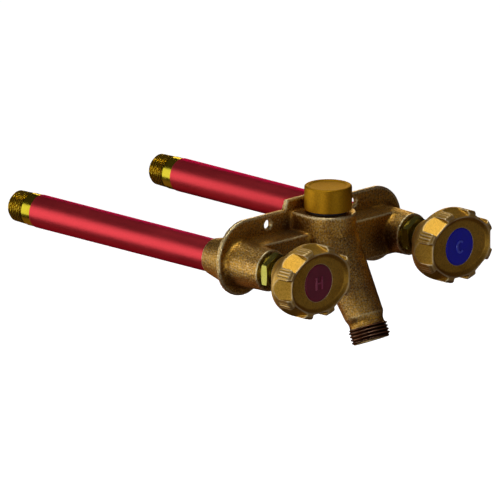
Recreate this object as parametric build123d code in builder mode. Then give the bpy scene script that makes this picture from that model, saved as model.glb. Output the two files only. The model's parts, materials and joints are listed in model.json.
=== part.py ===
from build123d import *
import os
from math import asin, cos, degrees, radians, sin, sqrt

# Frost free sillcock for hot and cold water. Millimetres and degrees.
# Origin on the wall face of the flange, midway between the two tubes, at the height of the tube axes.
# X runs from the hot side to the cold side, Y runs into the wall along the tubes, Z is up.

# Whole object
tube_spacing = 130.5
wall_to_inlet_end = 203.2
overrun = 1.0

# Clearances
press_gap = 0.02
thread_gap = 0.05
braze_gap = 0.05
running_gap = 0.05
seal_gap = 0.05
loose_gap = 0.3

# Tubes
tube_diameter = 22.2
tube_wall = 1.15

# Flange plate with its raised tab and its two screw holes
flange_width = 168.6
flange_height = 49.0
flange_thickness = 3.0
flange_rise = 3.3
flange_edge_chamfer = 0.7
flange_lobe_diameter = 44.6
flange_lobe_drop = 0.3
flange_waist_drop = 17.0
flange_waist_fillet = 8.0
tab_rise = 6.2
tab_top_width = 42.8
tab_foot_width = 47.6
flange_hole_diameter = 6.2
flange_hole_spacing = 79.0
flange_hole_rise = 20.9

# Valve barrels in front of the flange and tube hubs behind it
barrel_length = 32.0
barrel_back_diameter = 29.4
barrel_front_diameter = 27.8
barrel_foot_flare = 2.0
hub_length = 21.0
hub_foot_diameter = 34.0
hub_end_wall = 0.9
tube_socket_depth = 25.0
packing_nut_thread_depth = 7.0
packing_nut_thread_diameter = 21.0

# Cross waterway that joins the barrels to the centre column
arm_depth = 20.0
arm_drop = 14.0
arm_top_inset = 0.25
arm_edge_fillet = 1.5
arm_belly_fillet = 8.5
cross_bore_diameter = 12.0
cross_bore_reach = 11.0

# Centre column with the vacuum breaker chamber
column_diameter = 36.8
column_reach = 19.3
deck_rise = 25.7
deck_edge_chamfer = 0.7
column_foot_rise = 13.6
bonnet_thread_diameter = 22.0
bonnet_thread_depth = 7.7
chamber_diameter = 20.0
inlet_seat_rise = 8.0
inlet_seat_bore = 10.0
inlet_seat_lip = 1.2
inlet_seat_lip_height = 0.8

# Spout, whose axis leans forward from the vertical
spout_lean = 23.5
hose_end_reach = 59.5
hose_end_drop = 54.4
hose_thread_diameter = 26.7
hose_thread_length = 10.2
hose_end_chamfer = 0.8
spout_neck_diameter = 23.2
spout_neck_length = 3.2
spout_shoulder_diameter = 26.1
spout_shoulder_length = 3.8
spout_bore_diameter = 19.0
spout_bore_depth = 44.0
spout_passage_diameter = 12.0
spout_passage_end = 72.0

# Inlet fittings
pipe_thread_diameter = 20.8
pipe_thread_length = 13.7
inlet_collar_length = 8.0
inlet_collar_diameter = 21.6
solder_socket_diameter = 15.97
solder_socket_depth = 12.7
inlet_bore_diameter = 10.4
inlet_spigot_length = 10.0
seat_bore_diameter = 9.0
seat_lip_width = 1.2
seat_lip_height = 2.5
seat_body_length = 3.0

# Plunger, its seat washer and what holds them
seat_washer_diameter = 13.0
seat_washer_thickness = 3.6
washer_screw_diameter = 4.0
washer_screw_length = 11.0
washer_screw_head_diameter = 6.4
washer_screw_head_height = 1.8
plunger_diameter = 15.4
plunger_length = 20.0
plunger_rim_height = 2.2
plunger_socket_depth = 11.0
swivel_pin_diameter = 2.0
swivel_groove_depth = 1.1
swivel_groove_width = 2.3
swivel_groove_inset = 4.5

# Operating rod and stem
rod_diameter = 8.0
rod_socket_depth = 7.0
stem_head_length = 9.0
stem_head_diameter = 11.6
stem_back = 4.6
stem_thread_diameter = 13.0
stem_thread_length = 7.6
stem_diameter = 9.0
stem_square = 6.35
stem_square_length = 14.0
bush_collar_length = 1.6
bush_back = 17.5

# Packing nut, packing and its washer
packing_washer_thickness = 1.5
packing_length = 5.8
packing_diameter = 15.8
packing_nut_collar_diameter = 23.0
packing_nut_collar_length = 2.1
packing_nut_hex = 23.0
packing_nut_hex_length = 5.4
packing_nut_chamfer = 1.2
packing_nut_neck_diameter = 16.0
packing_nut_neck_length = 2.2

# Handle wheel, hub and dish
handle_width = 62.0
handle_height = 48.6
handle_hub_gap = 1.8
handle_hub_length = 15.2
handle_wheel_depth = 19.3
handle_end_radius = 20.0
handle_back_fillet = 6.4
handle_front_chamfer = 1.8
hub_back_diameter = 24.0
hub_flare_diameter = 31.0
hub_flare_share = 0.6
dish_depth = 2.4
dish_slope = 45.0
dish_width = 53.0
dish_end_radius = 16.0
dish_height = 39.6
notch_depth = 4.3
notch_width = 13.4
notch_length = 13.5
side_notch_angle = 48.7
lobe_angle_side = 26.4
lobe_angle_top = 71.0
groove_width = 1.3
groove_depth = 0.75
groove_pitch = 2.2
groove_length = 11.4

# Index button and handle screw
button_diameter = 25.0
button_thickness = 2.5
button_chamfer = 0.6
screw_pocket_depth = 3.2
handle_screw_diameter = 4.8
handle_screw_length = 14.0
handle_screw_head_diameter = 9.0
handle_screw_head_height = 2.6
handle_floor = 4.0

# Vacuum breaker
bonnet_flange_diameter = 27.0
bonnet_flange_height = 1.5
bonnet_neck_diameter = 19.0
bonnet_bore = 10.4
bonnet_wall_height = 7.3
bonnet_roof_height = 3.0
bonnet_pocket_diameter = 12.0
vent_seat_lip = 1.0
vent_seat_lip_height = 0.7
vent_port_diameter = 3.4
vent_port_count = 4
bonnet_ring_section = 1.8
cap_diameter = 31.4
cap_wall = 1.6
cap_top = 1.8
cap_base_rise = 27.6
cap_height = 16.0
cap_edge_chamfer = 0.9
cap_collar_wall = 1.5
cap_collar_length = 8.0
poppet_lift = 3.0
poppet_diameter = 15.0
poppet_thickness = 3.0
poppet_pin_diameter = 6.0
poppet_pin_length = 11.0
poppet_fin_thickness = 1.6
poppet_fin_length = 6.0
poppet_hub_diameter = 5.0
seal_thickness = 2.0
inlet_seal_diameter = 14.4
vent_seal_diameter = 13.6
spring_wire = 0.8
spring_wire_sides = 6
spring_turns = 4
spring_diameter = 7.9

# Places worked out from the sizes above
side_x = tube_spacing / 2
tube_radius = tube_diameter / 2
bore_radius = tube_radius - tube_wall
flange_top = flange_rise + flange_height / 2
barrel_taper = (barrel_back_diameter - barrel_front_diameter) / 2 / barrel_length
packing_nut_length = packing_nut_collar_length + packing_nut_hex_length + packing_nut_neck_length
handle_hub_back = barrel_length + packing_nut_length + handle_hub_gap
handle_wheel_back = handle_hub_back + handle_hub_length
handle_front = handle_wheel_back + handle_wheel_depth
column_axis = Axis((0, -column_reach, 0), (0, 0, 1))
spout_up = (0, sin(radians(spout_lean)), cos(radians(spout_lean)))
spout_normal = (0, -cos(radians(spout_lean)), sin(radians(spout_lean)))
hose_end = (0, -hose_end_reach, -hose_end_drop)
spout_section = Plane(origin=hose_end, x_dir=(1, 0, 0), z_dir=spout_normal)
spout_axis = Axis(hose_end, spout_up)


def place(piece, name):
    """Labels a finished piece and writes it under its name."""
    piece.label = name
    export_step(piece, f"parts/{name}.step")


def tube_line(centre_x):
    """The plane whose X is the radius from a tube's axis and whose Y is the place along it."""
    return Plane(origin=(centre_x, 0, 0))


def tube_axis(centre_x):
    return Axis((centre_x, 0, 0), (0, 1, 0))


def column_section():
    """The upright plane through the vacuum breaker's axis: X is the radius and Y is the height."""
    return Plane(origin=(0, -column_reach, 0), x_dir=(1, 0, 0), z_dir=(0, -1, 0))


def turned(outline, section, axis):
    """A solid of revolution from (radius, place) points in a plane that holds the axis."""
    with BuildPart() as solid:
        with BuildSketch(section):
            with BuildLine():
                Polyline(*outline, close=True)
            make_face()
        revolve(axis=axis)
    return solid.part


def ring(inner, outer, low, high, section, axis):
    """A plain ring or, with an inner radius of zero, a plain disc."""
    outline = ((inner, low), (outer, low), (outer, high), (inner, high))
    return turned(outline, section, axis)


def body_casting():
    """Flange, barrels, cross waterway, column and spout as one hollow casting."""
    back_radius = barrel_back_diameter / 2
    front_radius = barrel_front_diameter / 2
    foot_radius = back_radius + barrel_foot_flare
    foot_front = flange_thickness + barrel_foot_flare
    shoulder = barrel_length - packing_nut_thread_depth
    socket_end = tube_socket_depth - hub_length
    thread_radius = packing_nut_thread_diameter / 2 + thread_gap
    arm_top = back_radius - arm_top_inset
    arm_front_top = arm_top - arm_depth * barrel_taper
    half_width = flange_width / 2
    upper_x = half_width - flange_height / 2
    lobe_radius = flange_lobe_diameter / 2
    lobe_x = half_width - lobe_radius
    waist_angle = degrees(asin((flange_waist_drop - flange_lobe_drop) / lobe_radius))
    waist_x = lobe_x - lobe_radius * cos(radians(waist_angle))
    with BuildPart() as casting:
        with BuildSketch(Plane.XZ) as flange_sketch:
            with BuildLine():
                CenterArc((upper_x, flange_rise), flange_height / 2, 0, 90)
                Line((half_width, flange_rise), (half_width, -flange_lobe_drop))
                CenterArc((lobe_x, -flange_lobe_drop), lobe_radius, 0, waist_angle - 180)
                mirror(about=Plane.YZ)
                Line((-upper_x, flange_top), (upper_x, flange_top))
                Line((-waist_x, -flange_waist_drop), (waist_x, -flange_waist_drop))
            make_face()
            fillet(flange_sketch.vertices().group_by(Axis.Y)[0], radius=flange_waist_fillet)
            with BuildLine():
                Polyline(
                    (-tab_foot_width / 2, flange_rise),
                    (tab_foot_width / 2, flange_rise),
                    (tab_foot_width / 2, flange_top),
                    (tab_top_width / 2, flange_top + tab_rise),
                    (-tab_top_width / 2, flange_top + tab_rise),
                    (-tab_foot_width / 2, flange_top),
                    close=True,
                )
            make_face()
        extrude(amount=flange_thickness)
        front_edges = casting.faces().sort_by(Axis.Y)[0].edges()
        chamfer(front_edges, length=flange_edge_chamfer)
        with BuildSketch(Plane.YZ) as arm_sketch:
            with BuildLine():
                Polyline(
                    (0, -arm_drop),
                    (0, arm_top),
                    (-arm_depth, arm_front_top),
                    (-arm_depth, -arm_drop),
                    close=True,
                )
            make_face()
            front_corners = arm_sketch.vertices().group_by(Axis.Y)[0].sort_by(Axis.Z)
            fillet(front_corners[0], radius=arm_belly_fillet)
            fillet(front_corners[-1], radius=arm_edge_fillet)
        extrude(amount=side_x, both=True)
        for centre_x in (-side_x, side_x):
            with BuildSketch(tube_line(centre_x)):
                with BuildLine():
                    Polyline(
                        (0, hub_length),
                        (tube_radius + hub_end_wall, hub_length),
                        (hub_foot_diameter / 2, 0),
                        (foot_radius, -flange_thickness),
                        (back_radius, -foot_front),
                        (front_radius, -barrel_length),
                        (0, -barrel_length),
                        close=True,
                    )
                make_face()
            revolve(axis=tube_axis(centre_x))
        with BuildSketch(Plane.XY.offset(column_foot_rise)):
            with Locations((0, -column_reach)):
                Circle(column_diameter / 2)
            with Locations((0, -column_reach / 2)):
                Rectangle(column_diameter, column_reach)
        extrude(amount=deck_rise - column_foot_rise)
        deck_edges = casting.edges().filter_by_position(Axis.Z, deck_rise, deck_rise)
        chamfer(deck_edges.sort_by(Axis.Y)[:-1], length=deck_edge_chamfer)
        with BuildSketch(Plane.XY.offset(column_foot_rise)):
            with Locations((0, -column_reach)):
                Circle(column_diameter / 2)
        neck_end = hose_thread_length + spout_neck_length
        shoulder_end = neck_end + spout_shoulder_length
        shoulder_place = spout_axis.position + spout_axis.direction * shoulder_end
        with BuildSketch(Plane(origin=shoulder_place, x_dir=(1, 0, 0), z_dir=spout_up)):
            Circle(spout_shoulder_diameter / 2)
        loft(ruled=True)
        with BuildSketch(spout_section):
            with BuildLine():
                Polyline(
                    (0, 0),
                    (hose_thread_diameter / 2 - hose_end_chamfer, 0),
                    (hose_thread_diameter / 2, hose_end_chamfer),
                    (hose_thread_diameter / 2, hose_thread_length),
                    (spout_neck_diameter / 2, hose_thread_length),
                    (spout_neck_diameter / 2, neck_end),
                    (spout_shoulder_diameter / 2, shoulder_end),
                    (0, shoulder_end),
                    close=True,
                )
            make_face()
        revolve(axis=spout_axis)
        for centre_x in (-side_x, side_x):
            with BuildSketch(tube_line(centre_x)):
                with BuildLine():
                    Polyline(
                        (0, hub_length + overrun),
                        (tube_radius + braze_gap, hub_length + overrun),
                        (tube_radius + braze_gap, -socket_end),
                        (bore_radius, -socket_end),
                        (bore_radius, -shoulder),
                        (thread_radius, -shoulder),
                        (thread_radius, -barrel_length - overrun),
                        (0, -barrel_length - overrun),
                        close=True,
                    )
                make_face()
            revolve(axis=tube_axis(centre_x), mode=Mode.SUBTRACT)
        with BuildSketch(Plane.YZ):
            with Locations((-cross_bore_reach, 0)):
                Circle(cross_bore_diameter / 2)
        extrude(amount=side_x, both=True, mode=Mode.SUBTRACT)
        lip_foot = inlet_seat_rise - inlet_seat_lip_height
        lip_radius = inlet_seat_bore / 2 + inlet_seat_lip
        thread_foot = deck_rise - bonnet_thread_depth
        with BuildSketch(column_section()):
            with BuildLine():
                Polyline(
                    (0, -cross_bore_diameter / 2),
                    (inlet_seat_bore / 2, -cross_bore_diameter / 2),
                    (inlet_seat_bore / 2, inlet_seat_rise),
                    (lip_radius, inlet_seat_rise),
                    (lip_radius, lip_foot),
                    (chamber_diameter / 2, lip_foot),
                    (chamber_diameter / 2, thread_foot),
                    (bonnet_thread_diameter / 2 + thread_gap, thread_foot),
                    (bonnet_thread_diameter / 2 + thread_gap, deck_rise + overrun),
                    (0, deck_rise + overrun),
                    close=True,
                )
            make_face()
        revolve(axis=column_axis, mode=Mode.SUBTRACT)
        with BuildSketch(spout_section):
            with BuildLine():
                Polyline(
                    (0, -overrun),
                    (spout_bore_diameter / 2, -overrun),
                    (spout_bore_diameter / 2, spout_bore_depth),
                    (spout_passage_diameter / 2, spout_bore_depth),
                    (spout_passage_diameter / 2, spout_passage_end),
                    (0, spout_passage_end),
                    close=True,
                )
            make_face()
        revolve(axis=spout_axis, mode=Mode.SUBTRACT)
        with BuildSketch(Plane.XZ.offset(-overrun)):
            with Locations((0, flange_hole_rise)):
                with GridLocations(flange_hole_spacing, 0, 2, 1):
                    Circle(flange_hole_diameter / 2)
        extrude(amount=flange_thickness + overrun * 2, mode=Mode.SUBTRACT)
    return casting.part


def tube(centre_x):
    front = hub_length - tube_socket_depth
    back = wall_to_inlet_end - pipe_thread_length - inlet_collar_length
    return ring(bore_radius, tube_radius, front, back, tube_line(centre_x), tube_axis(centre_x))


# Places along the tube axis that the valve end shares
collar_front = wall_to_inlet_end - pipe_thread_length - inlet_collar_length
seat_face = collar_front - inlet_spigot_length - seat_body_length + seat_lip_height / 2
seat_shoulder = seat_face + seat_lip_height


def inlet_fitting(centre_x):
    """Pipe thread, collar, spigot in the tube and the raised valve seat, bored through."""
    thread_front = wall_to_inlet_end - pipe_thread_length
    seat_bore = seat_bore_diameter / 2
    spigot = bore_radius - braze_gap
    bore = inlet_bore_diameter / 2
    socket = solder_socket_diameter / 2
    outline = (
        (seat_bore, seat_face),
        (seat_bore + seat_lip_width, seat_face),
        (seat_bore + seat_lip_width * 2, seat_shoulder),
        (spigot, seat_shoulder),
        (spigot, collar_front),
        (inlet_collar_diameter / 2, collar_front),
        (inlet_collar_diameter / 2, thread_front),
        (pipe_thread_diameter / 2, thread_front),
        (pipe_thread_diameter / 2, wall_to_inlet_end),
        (socket, wall_to_inlet_end),
        (socket, wall_to_inlet_end - solder_socket_depth),
        (bore, wall_to_inlet_end - solder_socket_depth),
        (bore, collar_front),
        (seat_bore, collar_front),
    )
    return turned(outline, tube_line(centre_x), tube_axis(centre_x))


# Places along the plunger and the rod, from the washer's face forward
washer_back = seat_face
washer_front = washer_back - seat_washer_thickness
plunger_front = washer_front - plunger_length
rod_end = plunger_front + plunger_socket_depth
groove_middle = rod_end - swivel_groove_inset
pin_offset = rod_diameter / 2 - swivel_groove_depth + swivel_pin_diameter / 2 + running_gap


def seat_washer(centre_x):
    inner = washer_screw_diameter / 2 + press_gap
    outer = seat_washer_diameter / 2
    return ring(inner, outer, washer_front, washer_back, tube_line(centre_x), tube_axis(centre_x))


def washer_screw(centre_x):
    """Round head on the washer's face, shank into the plunger."""
    shank = washer_screw_diameter / 2
    head = washer_screw_head_diameter / 2
    outline = (
        (0, washer_back - washer_screw_length),
        (shank, washer_back - washer_screw_length),
        (shank, washer_back),
        (head, washer_back),
        (head, washer_back + washer_screw_head_height / 2),
        (shank, washer_back + washer_screw_head_height),
        (0, washer_back + washer_screw_head_height),
    )
    return turned(outline, tube_line(centre_x), tube_axis(centre_x))


def plunger(centre_x):
    """Carries the seat washer in a rim and swivels on the rod's end in a socket."""
    radius = plunger_diameter / 2
    rim = seat_washer_diameter / 2 + press_gap
    screw = washer_screw_diameter / 2 + thread_gap
    socket = rod_diameter / 2 + running_gap
    screw_end = washer_back - washer_screw_length - loose_gap
    nose = radius - plunger_rim_height
    outline = (
        (socket, plunger_front),
        (nose, plunger_front),
        (radius, plunger_front + plunger_rim_height),
        (radius, washer_front + plunger_rim_height),
        (rim, washer_front + plunger_rim_height),
        (rim, washer_front),
        (screw, washer_front),
        (screw, screw_end),
        (0, screw_end),
        (0, rod_end + running_gap),
        (socket, rod_end + running_gap),
    )
    with BuildPart() as body:
        with BuildSketch(tube_line(centre_x)):
            with BuildLine():
                Polyline(*outline, close=True)
            make_face()
        revolve(axis=tube_axis(centre_x))
        with BuildSketch(Plane.YZ.offset(centre_x)):
            with Locations((groove_middle, 0)):
                with GridLocations(0, pin_offset * 2, 1, 2):
                    Circle(swivel_pin_diameter / 2 + press_gap)
        extrude(amount=radius + overrun, both=True, mode=Mode.SUBTRACT)
    return body.part


def swivel_pins(centre_x):
    """Two cross pins that lie in the rod's groove, each as long as the plunger is wide there."""
    half_length = sqrt((plunger_diameter / 2) ** 2 - (pin_offset + swivel_pin_diameter / 2) ** 2)
    with BuildPart() as pins:
        with BuildSketch(Plane.YZ.offset(centre_x)):
            with Locations((groove_middle, 0)):
                with GridLocations(0, pin_offset * 2, 1, 2):
                    Circle(swivel_pin_diameter / 2)
        extrude(amount=half_length, both=True)
    return pins.part


def operating_rod(centre_x):
    """Plain rod with the groove for the swivel pins near its valve end."""
    radius = rod_diameter / 2
    groove = radius - swivel_groove_depth
    outline = (
        (0, rod_front),
        (radius, rod_front),
        (radius, groove_middle - swivel_groove_width / 2),
        (groove, groove_middle - swivel_groove_width / 2),
        (groove, groove_middle + swivel_groove_width / 2),
        (radius, groove_middle + swivel_groove_width / 2),
        (radius, rod_end),
        (0, rod_end),
    )
    return turned(outline, tube_line(centre_x), tube_axis(centre_x))


# Places along the stem, the packing and the handle, all in front of the wall
rod_front = -stem_back - rod_socket_depth
stem_thread_back = -stem_back - stem_head_length
stem_thread_front = stem_thread_back - stem_thread_length
bush_shoulder = -barrel_length + packing_nut_thread_depth
bush_front = bush_shoulder - bush_collar_length
packing_back = bush_front - packing_washer_thickness
packing_front = packing_back - packing_length
face_plane = -handle_front + dish_depth
button_back = face_plane + button_thickness
pocket_floor = button_back + screw_pocket_depth
square_end = pocket_floor + handle_floor
square_start = square_end + stem_square_length


def stem(centre_x):
    """Socket for the rod, operating thread, journal through the packing and square end."""
    journal = stem_diameter / 2
    socket = rod_diameter / 2 + press_gap
    tip = square_end + loose_gap
    screw_bottom = square_end - handle_floor + handle_screw_length + loose_gap
    screw_radius = handle_screw_diameter / 2 + thread_gap
    outline = (
        (socket, -stem_back),
        (stem_head_diameter / 2, -stem_back),
        (stem_head_diameter / 2, stem_thread_back),
        (stem_thread_diameter / 2, stem_thread_back),
        (stem_thread_diameter / 2, stem_thread_front),
        (journal, stem_thread_front),
        (journal, tip),
        (screw_radius, tip),
        (screw_radius, screw_bottom),
        (0, screw_bottom),
        (0, rod_front),
        (socket, rod_front),
    )
    with BuildPart() as spindle:
        with BuildSketch(tube_line(centre_x)):
            with BuildLine():
                Polyline(*outline, close=True)
            make_face()
        revolve(axis=tube_axis(centre_x))
        with BuildSketch(Plane.XZ.offset(-square_start)):
            with Locations((centre_x, 0)):
                Circle(stem_diameter)
                Rectangle(stem_square, stem_square, mode=Mode.SUBTRACT)
        extrude(amount=square_start - tip, mode=Mode.SUBTRACT)
    return spindle.part


def stem_bush(centre_x):
    """The nut of the operating thread, pressed in the barrel against its shoulder."""
    inner = stem_thread_diameter / 2 + running_gap
    outer = bore_radius - press_gap
    collar = packing_diameter / 2
    outline = (
        (inner, -bush_back),
        (outer, -bush_back),
        (outer, bush_shoulder),
        (collar, bush_shoulder),
        (collar, bush_front),
        (inner, bush_front),
    )
    return turned(outline, tube_line(centre_x), tube_axis(centre_x))


def packing_washer(centre_x):
    inner = stem_diameter / 2 + running_gap
    outer = packing_diameter / 2
    return ring(inner, outer, packing_back, bush_front, tube_line(centre_x), tube_axis(centre_x))


def packing(centre_x):
    inner = stem_diameter / 2 + seal_gap
    outer = packing_diameter / 2
    return ring(inner, outer, packing_front, packing_back, tube_line(centre_x), tube_axis(centre_x))


def packing_nut(centre_x):
    """Hexagon nut that screws into the barrel and squeezes the packing."""
    cavity = packing_diameter / 2 + press_gap
    inner = stem_diameter / 2 + running_gap
    thread = packing_nut_thread_diameter / 2
    collar = packing_nut_collar_diameter / 2
    neck = packing_nut_neck_diameter / 2
    hex_back = -barrel_length - packing_nut_collar_length
    hex_front = hex_back - packing_nut_hex_length
    corner = packing_nut_hex / sqrt(3)
    neck_front = hex_front - packing_nut_neck_length
    with BuildPart() as nut:
        with BuildSketch(tube_line(centre_x)):
            with BuildLine():
                Polyline(
                    (0, hex_back),
                    (corner - packing_nut_chamfer, hex_back),
                    (corner + overrun, hex_back - packing_nut_chamfer),
                    (corner + overrun, hex_front + packing_nut_chamfer),
                    (corner - packing_nut_chamfer * 2, hex_front),
                    (0, hex_front),
                    close=True,
                )
            make_face()
        revolve(axis=tube_axis(centre_x))
        with BuildSketch(Plane.XZ.offset(-hex_back)):
            with Locations((centre_x, 0)):
                RegularPolygon(packing_nut_hex / 2, side_count=6, major_radius=False, rotation=30)
        extrude(amount=packing_nut_hex_length, mode=Mode.INTERSECT)
        with BuildSketch(tube_line(centre_x)):
            with BuildLine():
                Polyline(
                    (0, bush_shoulder - loose_gap),
                    (thread, bush_shoulder - loose_gap),
                    (thread, -barrel_length),
                    (collar, -barrel_length),
                    (collar, hex_back),
                    (neck, hex_back),
                    (neck, neck_front),
                    (0, neck_front),
                    close=True,
                )
            make_face()
        revolve(axis=tube_axis(centre_x))
        with BuildSketch(tube_line(centre_x)):
            with BuildLine():
                Polyline(
                    (0, 0),
                    (cavity, 0),
                    (cavity, packing_front),
                    (inner, packing_front),
                    (inner, neck_front - overrun),
                    (0, neck_front - overrun),
                    close=True,
                )
            make_face()
        revolve(axis=tube_axis(centre_x), mode=Mode.SUBTRACT)
    return nut.part


def oval(width, height, end_radius):
    """An oval of four tangent arcs: two of the end radius and two flatter ones."""
    end_centre = width / 2 - end_radius
    margin = height / 2 - end_radius
    side_centre = (end_centre**2 - margin**2) / margin / 2
    side_radius = height / 2 + side_centre
    tangent_x = side_radius * end_centre / (side_radius - end_radius)
    tangent_y = side_radius * side_centre / (side_radius - end_radius) - side_centre
    with BuildSketch() as sketch:
        with BuildLine():
            ThreePointArc((tangent_x, -tangent_y), (width / 2, 0), (tangent_x, tangent_y))
            ThreePointArc((tangent_x, tangent_y), (0, height / 2), (-tangent_x, tangent_y))
            ThreePointArc((-tangent_x, tangent_y), (-width / 2, 0), (-tangent_x, -tangent_y))
            ThreePointArc((-tangent_x, -tangent_y), (0, -height / 2), (tangent_x, -tangent_y))
        make_face()
    return sketch.sketch


def oval_plane(centre_x, angle):
    """A plane on the wheel's rim at an angle of its oval: X points out, Y along the tube axis."""
    half_width = handle_width / 2
    half_height = handle_height / 2
    point = (centre_x + half_width * cos(radians(angle)), 0, half_height * sin(radians(angle)))
    outward = (cos(radians(angle)) / half_width, 0, sin(radians(angle)) / half_height)
    along = (-outward[2], 0, outward[0])
    return Plane(origin=point, x_dir=outward, z_dir=along)


def handle(centre_x):
    """Oval wheel with eight ribbed lobes round a dished face, on a flared hub."""
    flare_place = handle_hub_back + handle_hub_length * hub_flare_share
    reach = stem_diameter / 2 + running_gap
    notch_angles = [quarter * 90 for quarter in range(4)]
    notch_angles += [side_notch_angle, 180 - side_notch_angle]
    notch_angles += [180 + side_notch_angle, -side_notch_angle]
    lobe_angles = [sign * angle for sign in (1, -1) for angle in (lobe_angle_side, lobe_angle_top)]
    lobe_angles += [180 - angle for angle in lobe_angles]
    wheel_outline = oval(handle_width, handle_height, handle_end_radius)
    dish_outline = oval(dish_width, dish_height, dish_end_radius)
    with BuildPart() as wheel:
        with BuildSketch(Plane.XZ.offset(handle_wheel_back)):
            with Locations((centre_x, 0)):
                add(wheel_outline)
        extrude(amount=handle_wheel_depth)
        fillet(wheel.edges().group_by(Axis.Y)[-1], radius=handle_back_fillet)
        chamfer(wheel.edges().group_by(Axis.Y)[0], length=handle_front_chamfer)
        with BuildSketch(tube_line(centre_x)):
            with BuildLine():
                Polyline(
                    (0, -handle_hub_back),
                    (hub_back_diameter / 2, -handle_hub_back),
                    (hub_flare_diameter / 2, -flare_place),
                    (hub_flare_diameter / 2, -handle_wheel_back - handle_back_fillet),
                    (0, -handle_wheel_back - handle_back_fillet),
                    close=True,
                )
            make_face()
        revolve(axis=tube_axis(centre_x))
        with BuildSketch(Plane.XZ.offset(handle_front)):
            with Locations((centre_x, 0)):
                add(dish_outline)
        extrude(amount=-dish_depth, taper=dish_slope, mode=Mode.SUBTRACT)
        for angle in notch_angles:
            with BuildSketch(oval_plane(centre_x, angle)):
                with BuildLine():
                    Polyline(
                        (0, notch_length - handle_front),
                        (overrun, notch_length - handle_front),
                        (overrun, -handle_front - overrun),
                        (-notch_depth, -handle_front - overrun),
                        (-notch_depth, -handle_front),
                        close=True,
                    )
                make_face()
            extrude(amount=notch_width / 2, both=True, mode=Mode.SUBTRACT)
        groove_start = Vector(0, -handle_front - overrun, 0)
        for angle in lobe_angles:
            rim = oval_plane(centre_x, angle)
            for step in (-1, 0, 1):
                groove = rim.origin + rim.z_dir * (groove_pitch * step) + groove_start
                with BuildSketch(Plane(origin=groove, x_dir=rim.x_dir, z_dir=(0, 1, 0))):
                    with BuildLine():
                        Polyline(
                            (-groove_depth, 0),
                            (groove_depth, groove_width),
                            (groove_depth, -groove_width),
                            close=True,
                        )
                    make_face()
                extrude(amount=groove_length + overrun, mode=Mode.SUBTRACT)
        with BuildSketch(tube_line(centre_x)):
            with BuildLine():
                Polyline(
                    (0, -handle_front),
                    (button_diameter / 2 + press_gap, -handle_front),
                    (button_diameter / 2 + press_gap, button_back),
                    (handle_screw_head_diameter / 2 + loose_gap, button_back),
                    (handle_screw_head_diameter / 2 + loose_gap, pocket_floor),
                    (handle_screw_diameter / 2 + loose_gap, pocket_floor),
                    (handle_screw_diameter / 2 + loose_gap, square_end),
                    (0, square_end),
                    close=True,
                )
            make_face()
        revolve(axis=tube_axis(centre_x), mode=Mode.SUBTRACT)
        with BuildSketch(Plane.XZ.offset(-square_start)):
            with Locations((centre_x, 0)):
                Rectangle(stem_square + press_gap * 2, stem_square + press_gap * 2)
        extrude(amount=square_start - square_end, mode=Mode.SUBTRACT)
        with BuildSketch(tube_line(centre_x)):
            with BuildLine():
                Polyline((0, 0), (reach, 0), (reach, square_start), (0, square_start), close=True)
            make_face()
        revolve(axis=tube_axis(centre_x), mode=Mode.SUBTRACT)
    return wheel.part


def handle_screw(centre_x):
    """Pan head screw that holds the handle on the stem's square end."""
    shank = handle_screw_diameter / 2
    head = handle_screw_head_diameter / 2
    head_front = pocket_floor - handle_screw_head_height
    outline = (
        (0, pocket_floor + handle_screw_length),
        (shank, pocket_floor + handle_screw_length),
        (shank, pocket_floor),
        (head, pocket_floor),
        (head, pocket_floor - handle_screw_head_height / 2),
        (head - handle_screw_head_height / 2, head_front),
        (0, head_front),
    )
    return turned(outline, tube_line(centre_x), tube_axis(centre_x))


def index_button(centre_x):
    """Round plate with a bevelled face that snaps in front of the handle screw."""
    radius = button_diameter / 2
    outline = (
        (0, face_plane - button_chamfer),
        (0, button_back),
        (radius, button_back),
        (radius, face_plane),
        (radius - button_chamfer, face_plane - button_chamfer),
    )
    return turned(outline, tube_line(centre_x), tube_axis(centre_x))


# Heights of the vacuum breaker's pieces
poppet_foot = inlet_seat_rise + seal_thickness
poppet_top = poppet_foot + poppet_thickness
vent_seal_top = poppet_top + seal_thickness
vent_seat_rise = vent_seal_top + poppet_lift
bonnet_flange_top = deck_rise + bonnet_ring_section + bonnet_flange_height
bonnet_roof = bonnet_flange_top + bonnet_wall_height
cap_roof = cap_base_rise + cap_height - cap_top


def vacuum_breaker_bonnet():
    """Threaded seat for the vent, with side ports under the cap and the spring's pocket."""
    bore = bonnet_bore / 2
    neck = bonnet_neck_diameter / 2
    thread = bonnet_thread_diameter / 2
    flange_foot = deck_rise + bonnet_ring_section
    with BuildPart() as bonnet:
        with BuildSketch(column_section()):
            with BuildLine():
                Polyline(
                    (bore, vent_seat_rise),
                    (bore + vent_seat_lip, vent_seat_rise),
                    (bore + vent_seat_lip, vent_seat_rise + vent_seat_lip_height),
                    (thread, vent_seat_rise + vent_seat_lip_height),
                    (thread, deck_rise),
                    (thread, flange_foot),
                    (bonnet_flange_diameter / 2, flange_foot),
                    (bonnet_flange_diameter / 2, bonnet_flange_top),
                    (neck, bonnet_flange_top),
                    (neck, cap_roof),
                    (bonnet_pocket_diameter / 2, cap_roof),
                    (bonnet_pocket_diameter / 2, bonnet_roof + bonnet_roof_height),
                    (0, bonnet_roof + bonnet_roof_height),
                    (0, bonnet_roof),
                    (bore, bonnet_roof),
                    close=True,
                )
            make_face()
        revolve(axis=column_axis)
        port_rise = bonnet_flange_top + vent_port_diameter / 2 + loose_gap
        with BuildSketch(Plane(origin=(0, -column_reach, port_rise), x_dir=(0, 1, 0), z_dir=(1, 0, 0))):
            Circle(vent_port_diameter / 2)
        port = extrude(amount=neck + overrun, mode=Mode.PRIVATE)
        for step in range(vent_port_count):
            add(port.rotate(column_axis, step * 360 / vent_port_count), mode=Mode.SUBTRACT)
    return bonnet.part


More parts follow.
